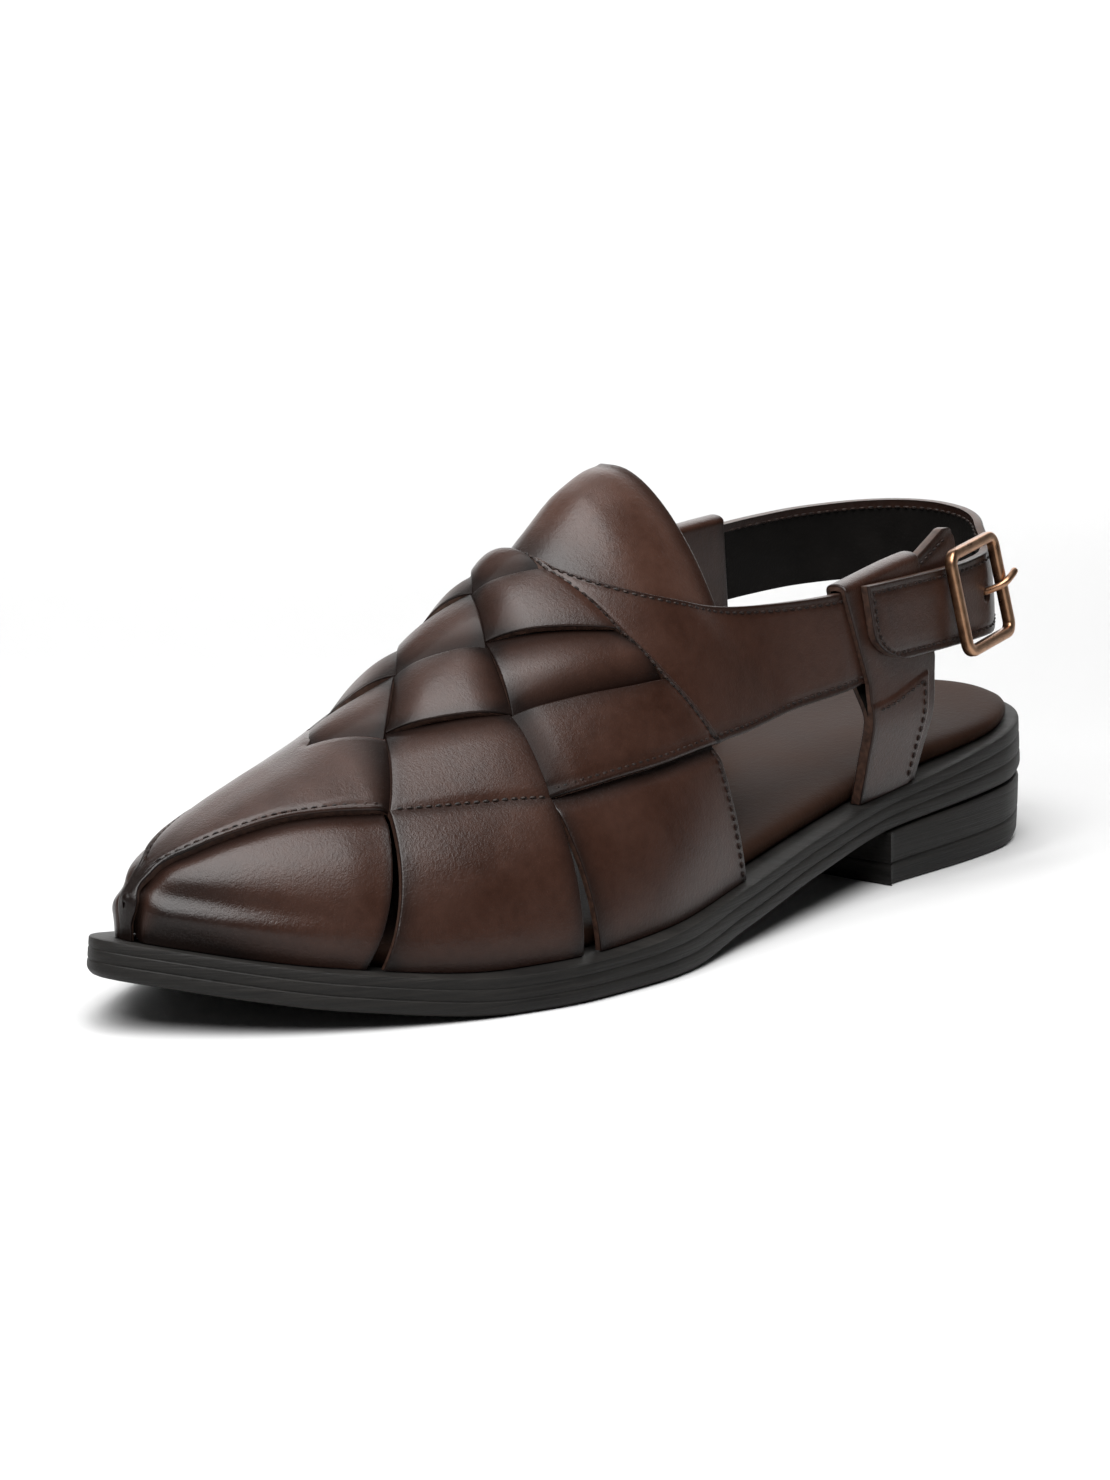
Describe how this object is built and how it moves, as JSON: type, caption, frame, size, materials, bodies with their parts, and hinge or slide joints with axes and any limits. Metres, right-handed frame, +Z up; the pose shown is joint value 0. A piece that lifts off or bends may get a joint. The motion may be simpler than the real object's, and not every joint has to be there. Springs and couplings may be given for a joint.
{
  "type": "peshawari sandal",
  "caption": "Left leather sandal with a closed woven vamp, a standing tongue, side straps held by upright tabs, a buckled heel strap, a padded insole and a low stacked heel.",
  "frame": {"origin": "middle of the footprint, on the floor under the sole", "axes": "+X heel to toe, +Y lateral side of the left foot, +Z up"},
  "size_m": [0.3, 0.1043, 0.1039],
  "materials": {
    "sole": "matt black, fine lines along the edge",
    "footbed": "smooth dark brown, low sheen",
    "upper_leather": "burnished dark brown, glossy, darker at the edges",
    "tongue_leather": "burnished dark brown, glossy",
    "buckle_metal": "antique copper, darkened in the corners"
  },
  "bodies": {
    "root": {"outsole": "sole", "heel": "sole", "insole": "footbed", "upper": "upper_leather", "tongue": "tongue_leather", "side_tab_lateral": "upper_leather", "side_tab_medial": "upper_leather", "heel_strap": "upper_leather", "buckle_frame": "buckle_metal", "buckle_prong": "buckle_metal"}
  },
  "joints": []
}
